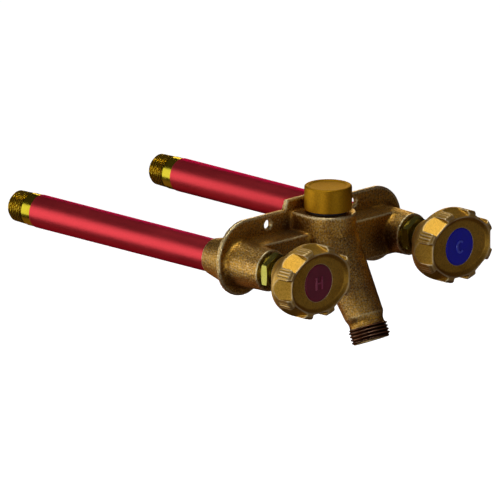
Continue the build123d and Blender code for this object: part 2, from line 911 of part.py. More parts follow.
def vacuum_breaker_ring():
    """Rubber ring squeezed between the casting's deck and the bonnet's flange."""
    inner = bonnet_thread_diameter / 2 + press_gap
    outer = bonnet_flange_diameter / 2 - bonnet_ring_section / 2
    top = deck_rise + bonnet_ring_section
    return ring(inner, outer, deck_rise, top, column_section(), column_axis)


def vacuum_breaker_cap():
    """Cup over the bonnet, held on its neck by an inner collar, open round its foot."""
    outer = cap_diameter / 2
    inner = outer - cap_wall
    collar_inner = bonnet_neck_diameter / 2 + press_gap
    collar_outer = collar_inner + cap_collar_wall
    top = cap_base_rise + cap_height
    foot = cap_base_rise
    outline = (
        (0, cap_roof),
        (collar_inner, cap_roof),
        (collar_inner, cap_roof - cap_collar_length),
        (collar_outer, cap_roof - cap_collar_length),
        (collar_outer, cap_roof),
        (inner, cap_roof),
        (inner, foot),
        (outer, foot),
        (outer, top - cap_edge_chamfer),
        (outer - cap_edge_chamfer, top),
        (0, top),
    )
    return turned(outline, column_section(), column_axis)


def vacuum_poppet():
    """Disc between the two seals, with a pin in the spring above and fins in the seat below."""
    pin = poppet_pin_diameter / 2
    seat_hub = poppet_hub_diameter / 2
    with BuildPart() as poppet:
        with BuildSketch(column_section()):
            with BuildLine():
                Polyline(
                    (0, poppet_foot - seal_thickness - poppet_fin_length),
                    (seat_hub / 2, poppet_foot - seal_thickness - poppet_fin_length),
                    (seat_hub, poppet_foot - seal_thickness),
                    (seat_hub, poppet_foot),
                    (poppet_diameter / 2, poppet_foot),
                    (poppet_diameter / 2, poppet_top),
                    (pin, poppet_top),
                    (pin, poppet_top + poppet_pin_length / 2),
                    (pin - spring_wire, poppet_top + poppet_pin_length),
                    (0, poppet_top + poppet_pin_length),
                    close=True,
                )
            make_face()
        revolve(axis=column_axis)
        fin_span = inlet_seat_bore - loose_gap * 2
        with BuildSketch(Plane.XY.offset(poppet_foot - seal_thickness)):
            with Locations((0, -column_reach)):
                Rectangle(fin_span, poppet_fin_thickness)
                Rectangle(poppet_fin_thickness, fin_span)
        extrude(amount=-poppet_fin_length)
    return poppet.part


def inlet_seal():
    inner = poppet_hub_diameter / 2 + press_gap
    outer = inlet_seal_diameter / 2
    return ring(inner, outer, inlet_seat_rise, poppet_foot, column_section(), column_axis)


def vent_seal():
    inner = poppet_pin_diameter / 2 + press_gap
    outer = vent_seal_diameter / 2
    return ring(inner, outer, poppet_top, vent_seal_top, column_section(), column_axis)


def poppet_spring():
    """Coil of half-turn arcs between the vent seal and the bonnet's roof, round the poppet's pin."""
    low = vent_seal_top + spring_wire / 2 + press_gap
    high = bonnet_roof - spring_wire / 2 - press_gap
    radius = spring_diameter / 2
    climb = (high - low) / spring_turns / 2
    with BuildPart() as spring:
        with BuildLine() as coil:
            for half_turn in range(spring_turns * 2):
                side = 1 if half_turn % 2 == 0 else -1
                foot = low + climb * half_turn
                ThreePointArc(
                    (radius * side, -column_reach, foot),
                    (0, -column_reach + radius * side, foot + climb / 2),
                    (-radius * side, -column_reach, foot + climb),
                )
        with BuildSketch(Plane(origin=coil.line @ 0, z_dir=coil.line % 0)):
            RegularPolygon(spring_wire / 2, side_count=spring_wire_sides)
        sweep()
    return spring.part


os.makedirs("parts", exist_ok=True)
place(body_casting(), "body_casting")
place(vacuum_breaker_bonnet(), "vacuum_breaker_bonnet")
place(vacuum_breaker_ring(), "vacuum_breaker_ring")
place(vacuum_breaker_cap(), "vacuum_breaker_cap")
place(vacuum_poppet(), "vacuum_poppet")
place(inlet_seal(), "vacuum_inlet_seal")
place(vent_seal(), "vacuum_vent_seal")
place(poppet_spring(), "vacuum_spring")
for side, x in (("hot", -side_x), ("cold", side_x)):
    place(tube(x), f"{side}_tube")
    place(inlet_fitting(x), f"{side}_inlet_fitting")
    place(seat_washer(x), f"{side}_seat_washer")
    place(washer_screw(x), f"{side}_washer_screw")
    place(plunger(x), f"{side}_plunger")
    place(swivel_pins(x), f"{side}_swivel_pins")
    place(operating_rod(x), f"{side}_operating_rod")
    place(stem(x), f"{side}_stem")
    place(stem_bush(x), f"{side}_stem_bush")
    place(packing_washer(x), f"{side}_packing_washer")
    place(packing(x), f"{side}_packing")
    place(packing_nut(x), f"{side}_packing_nut")
    place(handle(x), f"{side}_handle")
    place(handle_screw(x), f"{side}_handle_screw")
    place(index_button(x), f"{side}_index_button")
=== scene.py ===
import json
import math

import bmesh
import bpy
import numpy as np
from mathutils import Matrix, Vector
from mathutils.bvhtree import BVHTree
from mathutils.kdtree import KDTree


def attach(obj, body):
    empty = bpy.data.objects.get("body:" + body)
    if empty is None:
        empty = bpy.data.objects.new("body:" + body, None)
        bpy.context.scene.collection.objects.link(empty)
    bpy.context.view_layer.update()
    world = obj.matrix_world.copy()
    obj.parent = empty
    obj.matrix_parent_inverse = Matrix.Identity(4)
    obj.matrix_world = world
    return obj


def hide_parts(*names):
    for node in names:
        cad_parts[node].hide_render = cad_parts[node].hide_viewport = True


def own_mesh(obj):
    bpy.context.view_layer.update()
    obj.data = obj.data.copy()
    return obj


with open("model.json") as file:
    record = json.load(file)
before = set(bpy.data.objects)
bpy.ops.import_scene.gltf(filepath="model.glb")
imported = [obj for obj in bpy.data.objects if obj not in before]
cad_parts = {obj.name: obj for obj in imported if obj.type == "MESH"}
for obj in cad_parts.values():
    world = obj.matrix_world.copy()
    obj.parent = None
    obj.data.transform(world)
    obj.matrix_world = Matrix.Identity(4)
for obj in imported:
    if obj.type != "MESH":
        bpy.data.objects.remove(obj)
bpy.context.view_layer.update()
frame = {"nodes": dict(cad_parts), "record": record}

MM = 0.001
FULL_TURN = 2 * math.pi

# Places on the object, in metres, as the CAD has them
SIDE_X = 65.25 * MM
SIDES = {"hot": -SIDE_X, "cold": SIDE_X}
COLUMN_Y = -19.3 * MM
HOSE_END = np.array((0.0, -59.5, -54.4)) * MM
SPOUT_LEAN = math.radians(23.5)
SPOUT_UP = np.array((0.0, math.sin(SPOUT_LEAN), math.cos(SPOUT_LEAN)))
SPOUT_OUT = np.array((0.0, -math.cos(SPOUT_LEAN), math.sin(SPOUT_LEAN)))
WALL_TO_END = 203.2 * MM
BUTTON_FACE = -76.2 * MM

# Threads: outside radius, depth, pitch and length
HOSE_THREAD_RADIUS = 13.35 * MM
HOSE_THREAD_DEPTH = 1.35 * MM
HOSE_THREAD_PITCH = 2.209 * MM
HOSE_THREAD_LENGTH = 10.2 * MM
PIPE_THREAD_RADIUS = 10.4 * MM
PIPE_THREAD_DEPTH = 1.35 * MM
PIPE_THREAD_PITCH = 1.814 * MM
PIPE_THREAD_LENGTH = 13.7 * MM
PIPE_THREAD_TAPER = 1 / 32
CREST_TO_ROOT_FADE = 1.5  # how fast the crest's colour fades into the painted shade at a thread's root

# The casting's bores and machined ends, which keep their sharp corners
BARREL_BORE_RADIUS = 12.4 * MM
BARREL_BORE_END = 13.0 * MM
COLUMN_BORE_RADIUS = 12.5 * MM
COLUMN_BORE_FLOOR = 6.0 * MM
SPOUT_BORE_RADIUS = 10.2 * MM
SPOUT_BORE_TOP = 46.0 * MM
FLANGE_BACK = -0.4 * MM
THREADED_END = 14.5 * MM

# Sizes of the remeshed skins and what is done to them
CASTING_VOXEL = 0.52 * MM
CAST_FILLET_STEPS = 60
CAST_GRAIN_HEIGHT = 0.05 * MM
CAST_EDGE_SCALE = 0.05 * MM
THREAD_ROOT_GAP = 0.1 * MM
THREAD_END_GAP = 0.2 * MM
WHEEL_VOXEL = 0.36 * MM
WHEEL_HUB_RADIUS = 12.9 * MM
WHEEL_HUB_BLEND = 1.0 * MM
WHEEL_FRONT = 74.6 * MM
WHEEL_FRONT_BLEND = 1.6 * MM
WHEEL_FRONT_STEPS = 8
WHEEL_EDGE_SCALE = 0.035 * MM


# ---- Mesh tools

def coordinates(mesh):
    co = np.empty(len(mesh.vertices) * 3)
    mesh.vertices.foreach_get("co", co)
    return co.reshape(-1, 3)


def normals(mesh):
    out = np.empty(len(mesh.vertices) * 3, np.float32)
    mesh.vertex_normals.foreach_get("vector", out)
    return out.reshape(-1, 3).astype(float)


def move_to(mesh, co):
    mesh.vertices.foreach_set("co", co.astype(np.float32).ravel())
    mesh.update()


def neighbours(mesh):
    """The mesh's edges as pairs of vertices, and how many neighbours each vertex has."""
    pairs = np.empty(len(mesh.edges) * 2, np.int32)
    mesh.edges.foreach_get("vertices", pairs)
    count = np.bincount(pairs, minlength=len(mesh.vertices))
    return pairs.reshape(-1, 2), np.maximum(count, 1)


def neighbour_mean(values, pairs, count):
    """The mean of each vertex's neighbours, for one column of values."""
    n = len(values)
    first, second = pairs[:, 0], pairs[:, 1]
    return (np.bincount(first, values[second], n) + np.bincount(second, values[first], n)) / count


def offsets(co, pairs, count):
    return np.stack([neighbour_mean(co[:, k], pairs, count) for k in range(3)], 1) - co


def new_object(name, mesh):
    obj = bpy.data.objects.new(name, mesh)
    bpy.context.scene.collection.objects.link(obj)
    return obj


def shade_smooth(mesh):
    for polygon in mesh.polygons:
        polygon.use_smooth = True


def sharpen(mesh, angle=35.0):
    """Keeps an edge where faces meet at more than the angle."""
    shade_smooth(mesh)
    mesh.set_sharp_from_angle(angle=math.radians(angle))


def remeshed(node, name, voxel):
    """A new object with an even skin of small quads in the shape of a CAD node."""
    rough = new_object(name + "_rough", frame["nodes"][node].data.copy())
    rough.data.materials.clear()
    weld = rough.modifiers.new("weld", "WELD")
    weld.merge_threshold = 1e-6
    skin = rough.modifiers.new("skin", "REMESH")
    skin.mode = "VOXEL"
    skin.voxel_size = voxel
    graph = bpy.context.evaluated_depsgraph_get()
    mesh = bpy.data.meshes.new_from_object(rough.evaluated_get(graph))
    bpy.data.objects.remove(rough)
    mesh.name = name
    shade_smooth(mesh)
    return new_object(name, mesh)


def fill_hollows(mesh, mask, steps, rate=0.5, steps_per_normal=4):
    """Rounds inner corners: a vertex rises along its normal where its neighbours lie above it."""
    pairs, count = neighbours(mesh)
    co = coordinates(mesh)
    for step in range(steps):
        if step % steps_per_normal == 0:
            move_to(mesh, co)
            up = normals(mesh)
        rise = (offsets(co, pairs, count) * up).sum(1)
        co = co + (np.maximum(rise, 0) * mask * rate)[:, None] * up
    move_to(mesh, co)


def smooth(mesh, mask, steps, rate=0.5):
    pairs, count = neighbours(mesh)
    co = coordinates(mesh)
    for _ in range(steps):
        co = co + offsets(co, pairs, count) * (mask * rate)[:, None]
    move_to(mesh, co)


def store_layer(mesh, name, values):
    """Keeps a number from 0 to 1 for each vertex, which a material reads."""
    layer = mesh.attributes.new(name, "FLOAT", "POINT")
    layer.data.foreach_set("value", np.clip(values, 0, 1).astype(np.float32).ravel())


def store_edges(mesh, scale, steps=2, spread=0.6):
    """Keeps how far each place stands out as an edge, for the material's wear and painted highlight on
    edges.
    """
    pairs, count = neighbours(mesh)
    out = -(offsets(coordinates(mesh), pairs, count) * normals(mesh)).sum(1) / scale
    for _ in range(steps):
        out = out * (1 - spread) + neighbour_mean(out, pairs, count) * spread
    store_layer(mesh, "edge_wear_and_highlight", out)


def store_recess_shade(obj, samples=8000, rays=20, reach=40 * MM, apart=6 * MM, lift=0.3 * MM,
                  nearest=5, steps=12, least=0.12, span=0.5):
    """Keeps how far each place is closed in by the piece's own walls, for the material's tarnish and
    painted shade in recesses.

    Rays from sample places count what closes them in. Every vertex takes the mean of the samples
    nearest to it, found a little way out along its normal, so that a wall's two sides stay apart.
    """
    mesh = obj.data
    co = coordinates(mesh)
    up = normals(mesh)
    places = co + up * apart
    tree = BVHTree.FromObject(obj, bpy.context.evaluated_depsgraph_get())
    rng = np.random.default_rng(5)
    chosen = rng.choice(len(co), samples, replace=False)
    spread = rng.normal(0, 1, (rays, 3))
    spread /= np.linalg.norm(spread, axis=1)[:, None]
    near = KDTree(samples)
    blocked = np.zeros(samples)
    for k, i in enumerate(chosen):
        start = Vector(co[i] + up[i] * lift)
        hits = [tree.ray_cast(start, Vector(up[i] + way), reach)[0] is not None for way in spread]
        blocked[k] = sum(hits) / rays
        near.insert(Vector(places[i]), k)
    near.balance()
    recess_shade = np.array([np.mean([blocked[k] for _, k, _ in near.find_n(place, nearest)])
                        for place in places])
    pairs, count = neighbours(mesh)
    for _ in range(steps):
        recess_shade = neighbour_mean(recess_shade, pairs, count)
    store_layer(mesh, "recess_shade", (recess_shade - least) / span)


def turn_angles(around):
    return np.arange(around) / around * FULL_TURN


def grid_mesh(name, rings, closed_profile):
    """A mesh from rings of points, each ring joined to the next, and the last to the first if closed."""
    rows, columns = rings.shape[:2]
    faces = []
    for i in range(rows if closed_profile else rows - 1):
        below = i * columns
        above = ((i + 1) % rows) * columns
        for j in range(columns):
            k = (j + 1) % columns
            faces.append((below + j, above + j, above + k, below + k))
    mesh = bpy.data.meshes.new(name)
    mesh.from_pydata(rings.reshape(-1, 3).tolist(), [], faces)
    mesh.validate()
    shade_smooth(mesh)
    return mesh


def thread_height(turn, crest=0.08, root=0.08):
    """Height from root (0) to crest (1) across one pitch, with flat crests and roots."""
    place = np.abs((turn % 1.0) * 2 - 1)
    return np.clip((place - root) / (1 - root - crest), 0, 1)


# ---- Materials

NOISE_LOW, NOISE_HIGH = 0.3, 0.7  # where most of a noise's values lie
SPECK_LOW, SPECK_HIGH = 0.36, 0.62
SPECK_DARK, SPECK_LIGHT = 0.35, 1.25


def node_material(name):
    mat = bpy.data.materials.new(name)
    mat.use_nodes = True
    nodes = mat.node_tree.nodes
    links = mat.node_tree.links
    return mat, nodes, links, nodes["Principled BSDF"]


def noise(nodes, links, place, scale, detail=3.0, roughness=0.5):
    node = nodes.new("ShaderNodeTexNoise")
    node.inputs["Scale"].default_value = scale
    node.inputs["Detail"].default_value = detail
    node.inputs["Roughness"].default_value = roughness
    links.new(place.outputs["Object"], node.inputs["Vector"])
    return node.outputs["Fac"]


def ramp(nodes, links, value, stops):
    node = nodes.new("ShaderNodeValToRGB")
    band = node.color_ramp
    while len(band.elements) < len(stops):
        band.elements.new(0.5)
    for element, (place, colour) in zip(band.elements, stops):
        element.position = place
        element.color = (*colour, 1)
    links.new(value, node.inputs["Fac"])
    return node.outputs["Color"]


def mix(nodes, links, factor, a, b):
    node = nodes.new("ShaderNodeMix")
    node.data_type = "RGBA"
    if isinstance(factor, float):
        node.inputs["Factor"].default_value = factor
    else:
        links.new(factor, node.inputs["Factor"])
    for socket, value in (("A", a), ("B", b)):
        place = next(s for s in node.inputs if s.name == socket and s.type == "RGBA")
        if isinstance(value, tuple):
            place.default_value = (*value, 1)
        else:
            links.new(value, place)
    return next(s for s in node.outputs if s.type == "RGBA")


def layer_mix(nodes, links, layer, colour, over):
    """Lays one colour over another as far as the mesh's layer says."""
    node = nodes.new("ShaderNodeAttribute")
    node.attribute_name = layer
    return mix(nodes, links, node.outputs["Fac"], colour, over)


def scaled(nodes, links, value, low, high):
    node = nodes.new("ShaderNodeMapRange")
    node.inputs["From Min"].default_value = NOISE_LOW
    node.inputs["From Max"].default_value = NOISE_HIGH
    node.inputs["To Min"].default_value = low
    node.inputs["To Max"].default_value = high
    links.new(value, node.inputs["Value"])
    return node.outputs["Result"]


def bump(nodes, links, value, distance, strength):
    node = nodes.new("ShaderNodeBump")
    node.inputs["Distance"].default_value = distance
    node.inputs["Strength"].default_value = strength
    links.new(value, node.inputs["Height"])
    return node.outputs["Normal"]


def metal(name, dark, light, rough, patch=60.0, grain=1400.0, depth=0.05, strength=0.6,
          speck_share=0.35, wear_and_highlight=None, tarnish_and_shade=None, grazing=(1.0, 0.75, 0.45)):
    """Metal with slow colour patches and fine grain of a depth in millimetres.

    Where the mesh keeps layers for them, recesses are darkened with tarnish and painted shade, and edges
    lightened with wear and a painted highlight.
    """
    mat, nodes, links, shader = node_material(name)
    place = nodes.new("ShaderNodeTexCoord")
    slow = noise(nodes, links, place, patch, 4.0, 0.6)
    fine = noise(nodes, links, place, grain, 2.0, 0.6)
    colour = ramp(nodes, links, slow, ((NOISE_LOW, dark), (NOISE_HIGH, light)))
    speck_dark = tuple(c * SPECK_DARK for c in dark)
    speck_light = tuple(min(1, c * SPECK_LIGHT) for c in light)
    speck = ramp(nodes, links, fine, ((SPECK_LOW, speck_dark), (SPECK_HIGH, speck_light)))
    colour = mix(nodes, links, speck_share, colour, speck)
    # Recesses darken towards a near-black colour: tarnish and painted shade.
    if tarnish_and_shade is not None:
        colour = layer_mix(nodes, links, "recess_shade", colour, tarnish_and_shade)
    # Edges lighten towards a pale colour: wear and a painted highlight.
    if wear_and_highlight is not None:
        colour = layer_mix(nodes, links, "edge_wear_and_highlight", colour, wear_and_highlight)
    links.new(colour, shader.inputs["Base Color"])
    shader.inputs["Metallic"].default_value = 1.0
    shader.inputs["Specular Tint"].default_value = (*grazing, 1)
    links.new(scaled(nodes, links, slow, *rough), shader.inputs["Roughness"])
    links.new(bump(nodes, links, fine, depth * MM, strength), shader.inputs["Normal"])
    return mat


def plastic(name, colour, rough, shade=0.8, patch=120.0, grain=900.0, rough_spread=0.15,
            depth=0.02, strength=0.4):
    mat, nodes, links, shader = node_material(name)
    place = nodes.new("ShaderNodeTexCoord")
    slow = noise(nodes, links, place, patch)
    fine = noise(nodes, links, place, grain)
    shaded = tuple(c * shade for c in colour)
    tone = ramp(nodes, links, slow, ((NOISE_LOW, shaded), (NOISE_HIGH, colour)))
    links.new(tone, shader.inputs["Base Color"])
    roughness = scaled(nodes, links, slow, rough * (1 - rough_spread), rough * (1 + rough_spread))
    links.new(roughness, shader.inputs["Roughness"])
    links.new(bump(nodes, links, fine, depth * MM, strength), shader.inputs["Normal"])
    return mat


# Dark and light tone, least and most roughness, and what else sets the metal apart
METALS = {
    # Cast brass: edges take a pale colour, wear and a painted highlight; recesses a near-black one,
    # tarnish and painted shade.
    "cast_brass": dict(
        dark=(0.26, 0.105, 0.024), light=(0.66, 0.37, 0.055), rough=(0.32, 0.42), patch=38.0,
        grain=900.0, depth=0.5, strength=1.0, speck_share=0.5, wear_and_highlight=(1.0, 0.88, 0.5),
        tarnish_and_shade=(0.07, 0.03, 0.012)),
    "machined_brass": dict(dark=(0.62, 0.44, 0.2), light=(0.74, 0.58, 0.3), rough=(0.22, 0.32)),
    "fitting_brass": dict(
        dark=(0.36, 0.29, 0.012), light=(0.46, 0.39, 0.03), rough=(0.2, 0.28), depth=0.01,
        speck_share=0.1),
    "nut_brass": dict(
        dark=(0.30, 0.28, 0.05), light=(0.42, 0.40, 0.09), rough=(0.2, 0.28), depth=0.01,
        speck_share=0.1),
    # The handle's edges and rib crests take a cream colour: wear and a painted highlight.
    "handle_bronze": dict(
        dark=(0.46, 0.24, 0.025), light=(0.64, 0.39, 0.065), rough=(0.46, 0.56), patch=45.0,
        grain=1000.0, depth=0.1, speck_share=0.25, wear_and_highlight=(1.0, 0.86, 0.52)),
    "cap_bronze": dict(
        dark=(0.44, 0.21, 0.008), light=(0.54, 0.29, 0.016), rough=(0.5, 0.58), patch=50.0,
        grain=1000.0, depth=0.08, speck_share=0.2),
    "tube_red": dict(
        dark=(0.58, 0.046, 0.056), light=(0.68, 0.054, 0.066), rough=(0.42, 0.48), patch=30.0,
        grain=900.0, depth=0.02, speck_share=0.06, grazing=(0.5, 0.25, 0.4)),
    "steel": dict(dark=(0.45, 0.45, 0.45), light=(0.6, 0.6, 0.6), rough=(0.25, 0.35)),
    # Near-black painted shade in the pipe thread's roots, under bright crests that are a painted
    # highlight
    "cut_pipe_thread": dict(
        dark=(0.05, 0.025, 0.004), light=(0.08, 0.045, 0.006), rough=(0.24, 0.32), depth=0.01,
        speck_share=0.0, wear_and_highlight=(1.0, 0.70, 0.05)),
    # Near-black painted shade in the hose thread's roots, under lighter crests
    "cut_hose_thread": dict(
        dark=(0.03, 0.012, 0.006), light=(0.06, 0.025, 0.012), rough=(0.24, 0.34), depth=0.02,
        speck_share=0.1, wear_and_highlight=(0.46, 0.26, 0.16)),
}

# Colour and roughness
PLASTICS = {
    "hot_button": ((0.22, 0.014, 0.04), 0.42),
    "cold_button": ((0.01, 0.012, 0.66), 0.42),
    "rubber": ((0.02, 0.02, 0.02), 0.6),
    "packing": ((0.05, 0.05, 0.052), 0.7),
    "white_plastic": ((0.75, 0.75, 0.7), 0.45),
    "hot_letter": ((0.42, 0.06, 0.13), 0.3),
    "cold_letter": ((0.10, 0.13, 0.95), 0.3),
}

MATERIALS = {name: metal(name, **look) for name, look in METALS.items()}
MATERIALS.update({name: plastic(name, *look) for name, look in PLASTICS.items()})

for part in frame["record"]["subparts"]:
    node = frame["nodes"][part["node"]]
    node.data.materials.clear()
    node.data.materials.append(MATERIALS[part["material_slot"]])


def dress(obj, slot, body, *nodes):
    """Gives a new piece its material, its body and the CAD nodes it stands for."""
    obj.data.materials.clear()
    obj.data.materials.append(MATERIALS[slot])
    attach(obj, body)
    if nodes:
        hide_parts(*nodes)


# ---- The casting, with cast fillets in its inner corners

def from_hose_end(co):
    """Each place's height along the spout, and its offset and distance from the spout's axis."""
    along = (co - HOSE_END) @ SPOUT_UP
    radial = (co - HOSE_END) - along[:, None] * SPOUT_UP
    return along, radial, np.linalg.norm(radial, axis=1)


def casting_skin():
    obj = remeshed("body_casting", "casting", CASTING_VOXEL)
    mesh = obj.data
    co = coordinates(mesh)
    from_tube = np.minimum(*(np.hypot(co[:, 0] - x, co[:, 2]) for x in SIDES.values()))
    from_column = np.hypot(co[:, 0], co[:, 1] - COLUMN_Y)
    along_spout, _, from_spout = from_hose_end(co)
    sharp = (from_tube < BARREL_BORE_RADIUS) & (co[:, 1] < BARREL_BORE_END)
    sharp |= (from_column < COLUMN_BORE_RADIUS) & (co[:, 2] > COLUMN_BORE_FLOOR)
    sharp |= (from_spout < SPOUT_BORE_RADIUS) & (along_spout < SPOUT_BORE_TOP)
    sharp |= co[:, 1] > FLANGE_BACK
    sharp |= along_spout < THREADED_END
    cast = (~sharp).astype(float)
    fill_hollows(mesh, cast, CAST_FILLET_STEPS)
    smooth(mesh, cast, 1)

    # The CAD's plain cylinder of the hose thread sinks to just under the thread's root
    co = coordinates(mesh)
    along_spout, radial, from_spout = from_hose_end(co)
    root_radius = HOSE_THREAD_RADIUS - HOSE_THREAD_DEPTH - THREAD_ROOT_GAP
    under_thread = (along_spout < HOSE_THREAD_LENGTH + THREAD_END_GAP) & (from_spout > root_radius)
    root = root_radius / np.maximum(from_spout, 1e-6)
    co[under_thread] -= (radial * (1 - root)[:, None])[under_thread]

    grain = np.random.default_rng(11).normal(0, 1, len(co))
    grain = grain * 0.5 + neighbour_mean(grain, *neighbours(mesh))
    co += (grain * CAST_GRAIN_HEIGHT * ~under_thread)[:, None] * normals(mesh)
    move_to(mesh, co)
    # How far each place stands out as an edge, for wear and a painted highlight
    store_edges(mesh, CAST_EDGE_SCALE)
    # How closed in each place is, for tarnish and painted shade in the recesses
    store_recess_shade(obj)
    return obj


casting = casting_skin()
dress(casting, "cast_brass", "housing", "body_casting")


def hose_thread(around=180, steps=96, start=0.35 * MM, fade_start=0.3 * MM, run_in=1.1 * MM,
                run_out=0.7 * MM, sunk=0.8 * MM):
    """The helical hose thread round the spout's end, closed inside the casting's wall."""
    along = np.linspace(start, HOSE_THREAD_LENGTH, steps)
    angle, along = np.meshgrid(turn_angles(around), along)
    height = thread_height(along / HOSE_THREAD_PITCH - angle / FULL_TURN)
    fade = np.clip((along - fade_start) / run_in, 0, 1)
    fade = fade * np.clip((HOSE_THREAD_LENGTH - along) / run_out, 0, 1)
    root_radius = HOSE_THREAD_RADIUS - HOSE_THREAD_DEPTH
    radius = HOSE_THREAD_RADIUS - HOSE_THREAD_DEPTH * (1 - height * fade)
    inner = np.full((1, around), root_radius - sunk)
    radius = np.vstack([inner, radius, inner])
    along = np.vstack([along[:1], along, along[-1:]])
    angle = np.vstack([angle[:1], angle, angle[-1:]])
    side = np.array((1.0, 0.0, 0.0))
    rings = HOSE_END + along[..., None] * SPOUT_UP
    rings = rings + (radius * np.cos(angle))[..., None] * side
    rings = rings + (radius * np.sin(angle))[..., None] * SPOUT_OUT
    mesh = grid_mesh("hose_thread", rings, True)
    blank = np.zeros((1, around))
    # Crests take the lighter colour; roots keep the near-black painted shade
    store_layer(mesh, "edge_wear_and_highlight", np.vstack([blank, (height * fade) ** CREST_TO_ROOT_FADE, blank]))
    return new_object("hose_thread", mesh)


thread = hose_thread()
dress(thread, "cast_brass", "housing")
# The hose thread's roots are near-black painted shade
thread.data.materials[0] = MATERIALS["cut_hose_thread"]


# ---- Inlet fittings, turned, with taper pipe threads

# Radii and lengths of the fitting in millimetres
SEAT_BORE, SEAT_LIP, SEAT_LIP_ROOT, SEAT_LIP_HEIGHT = 4.5, 5.7, 6.9, 2.5
SPIGOT_RADIUS, SPIGOT_LENGTH = 9.9, 9.25
COLLAR_RADIUS, COLLAR_LENGTH, COLLAR_NICK, COLLAR_CHAMFER = 10.8, 8.0, 0.3, 0.4
SOCKET_RADIUS, SOCKET_DEPTH, PASSAGE_RADIUS = 7.985, 12.7, 5.2


def inlet_fitting(side, x, around=144, steps=110, margin=0.1 * MM, run_in=1.2 * MM, run_out=1.4 * MM):
    start = WALL_TO_END - PIPE_THREAD_LENGTH
    middle = (start + WALL_TO_END) / 2
    collar = start - COLLAR_LENGTH * MM
    shoulder = collar - SPIGOT_LENGTH * MM
    lip = shoulder - SEAT_LIP_HEIGHT * MM
    socket_end = WALL_TO_END - SOCKET_DEPTH * MM
    body = [(SEAT_BORE, lip), (SEAT_LIP, lip), (SEAT_LIP_ROOT, shoulder), (SPIGOT_RADIUS, shoulder),
            (SPIGOT_RADIUS, collar), (COLLAR_RADIUS - COLLAR_NICK, collar),
            (COLLAR_RADIUS, collar + COLLAR_NICK * MM),
            (COLLAR_RADIUS, start - COLLAR_CHAMFER * MM), (PIPE_THREAD_RADIUS / MM, start)]
    bore = [(SOCKET_RADIUS, WALL_TO_END), (SOCKET_RADIUS, socket_end), (PASSAGE_RADIUS, socket_end),
            (PASSAGE_RADIUS, collar), (SEAT_BORE, collar)]
    threaded = np.linspace(start + margin, WALL_TO_END - margin, steps)
    angle = turn_angles(around)
    blank = np.zeros(around)
    rows = [(radius * MM, y, blank) for radius, y in body]
    for y in threaded:
        height = thread_height((y - start) / PIPE_THREAD_PITCH + angle / FULL_TURN)
        height = height * min(1.0, (y - start) / run_in) * min(1.0, (WALL_TO_END - y) / run_out)
        crest = PIPE_THREAD_RADIUS - (y - middle) * PIPE_THREAD_TAPER
        rows.append((crest - PIPE_THREAD_DEPTH * (1 - height), y, height ** CREST_TO_ROOT_FADE))
    rows += [(radius * MM, y, blank) for radius, y in bore]
    rings = np.zeros((len(rows), around, 3))
    for ring, (radius, y, _) in zip(rings, rows):
        ring[:, 0] = x + radius * np.cos(angle)
        ring[:, 1] = y
        ring[:, 2] = radius * np.sin(angle)
    mesh = grid_mesh(side + "_inlet", rings, True)
    store_layer(mesh, "edge_wear_and_highlight", [level for _, _, level in rows])
    obj = new_object(side + "_inlet", mesh)
    sharpen(mesh)
    dress(obj, "fitting_brass", "housing", side + "_inlet_fitting")
    # The threaded faces take the near-black thread material: painted shade in the roots, a painted
    # highlight on the crests
    mesh.materials.append(MATERIALS["cut_pipe_thread"])
    first, last = len(body) - 1, len(body) + steps
    for face in mesh.polygons:
        face.material_index = int(first <= face.index // around < last)


for side, x in SIDES.items():
    inlet_fitting(side, x)


# ---- Handles, cast and tumbled smooth

for side, x in SIDES.items():
    wheel = remeshed(side + "_handle", side + "_wheel", WHEEL_VOXEL)
    co = coordinates(wheel.data)
    from_axis = np.hypot(co[:, 0] - x, co[:, 2])
    outer = np.clip((from_axis - WHEEL_HUB_RADIUS) / WHEEL_HUB_BLEND, 0, 1)
    smooth(wheel.data, outer, 1)
    front = np.clip((-co[:, 1] - WHEEL_FRONT) / WHEEL_FRONT_BLEND, 0, 1) * outer
    smooth(wheel.data, front, WHEEL_FRONT_STEPS)
    # The wheel's edges and rib crests take the pale colour: wear and a painted highlight
    store_edges(wheel.data, WHEEL_EDGE_SCALE)
    dress(wheel, "handle_bronze", side + "_stem_body", side + "_handle")


# ---- The vent's cap, with a rounded rim round a shallow dished top

# Radii and heights of the cap in millimetres
CAP_RADIUS, CAP_INNER_RADIUS, CAP_FOOT, CAP_TOP, CAP_ROOF = 15.7, 14.1, 27.6, 43.6, 41.8
CAP_COLLAR_OUTER, CAP_COLLAR_INNER, CAP_COLLAR_LENGTH = 11.02, 9.52, 8.0
CAP_RIM, CAP_DISH, CAP_NICK = 1.3, 0.55, 0.3
CAP_DISH_STEPS = ((11.2, 1.0), (11.6, 0.9), (12.1, 0.35), (12.6, 0.0))  # radius and share of the dish


